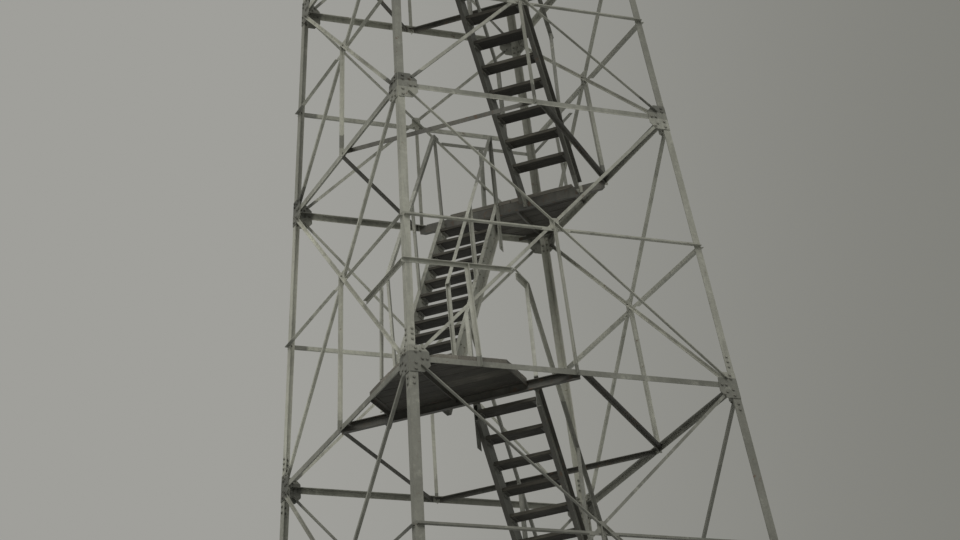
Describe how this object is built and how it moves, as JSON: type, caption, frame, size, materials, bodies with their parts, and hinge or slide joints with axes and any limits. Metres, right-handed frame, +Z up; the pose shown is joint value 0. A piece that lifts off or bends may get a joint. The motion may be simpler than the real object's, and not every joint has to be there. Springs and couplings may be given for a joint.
{
  "type": "fire lookout tower",
  "caption": "Tall open steel lookout tower: four leaning braced legs, inner stairs with corner landings and railings, and a windowed cab on top",
  "frame": {"origin": "on the ground, midway between the four foot plates", "axes": "+Z up; -Y is the front, the side seen on the right of the leg nearest to the camera; +X is the right side"},
  "size_m": [5.772, 5.772, 23.4766],
  "materials": {
    "steel": "dull galvanised angle iron, weathered, with stains at the joints",
    "wood": "old unpainted planks, grey and dark with weather",
    "cab_paint": "pale grey-green paint on sheet steel, matt with age",
    "glass": "clear window glass",
    "roof_steel": "dull sheet roofing, weathered"
  },
  "bodies": {
    "root": {"anchor_plates": "steel", "front_left_leg": "steel", "front_right_leg": "steel", "back_right_leg": "steel", "back_left_leg": "steel", "front_bracing": "steel", "right_bracing": "steel", "back_bracing": "steel", "left_bracing": "steel", "level_1_framing": "steel", "level_2_framing": "steel", "level_3_framing": "steel", "level_4_framing": "steel", "level_5_framing": "steel", "landing_1_deck": "wood", "landing_2_deck": "wood", "landing_3_deck": "wood", "landing_4_deck": "wood", "landing_5_deck": "wood", "flight_1_stringers": "steel", "flight_2_stringers": "steel", "flight_3_stringers": "steel", "flight_4_stringers": "steel", "flight_5_stringers": "steel", "flight_6_stringers": "steel", "flight_1_treads": "wood", "flight_2_treads": "wood", "flight_3_treads": "wood", "flight_4_treads": "wood", "flight_5_treads": "wood", "flight_6_treads": "wood", "railing_1": "steel", "railing_2": "steel", "railing_3": "steel", "railing_4": "steel", "railing_5": "steel", "railing_6": "steel", "cab_sill": "steel", "cab_floor": "wood", "cab_trapdoor": "wood", "cab_front_wall": "cab_paint", "cab_right_wall": "cab_paint", "cab_back_wall": "cab_paint", "cab_left_wall": "cab_paint", "cab_windows": "glass", "cab_roof": "roof_steel"}
  },
  "joints": []
}
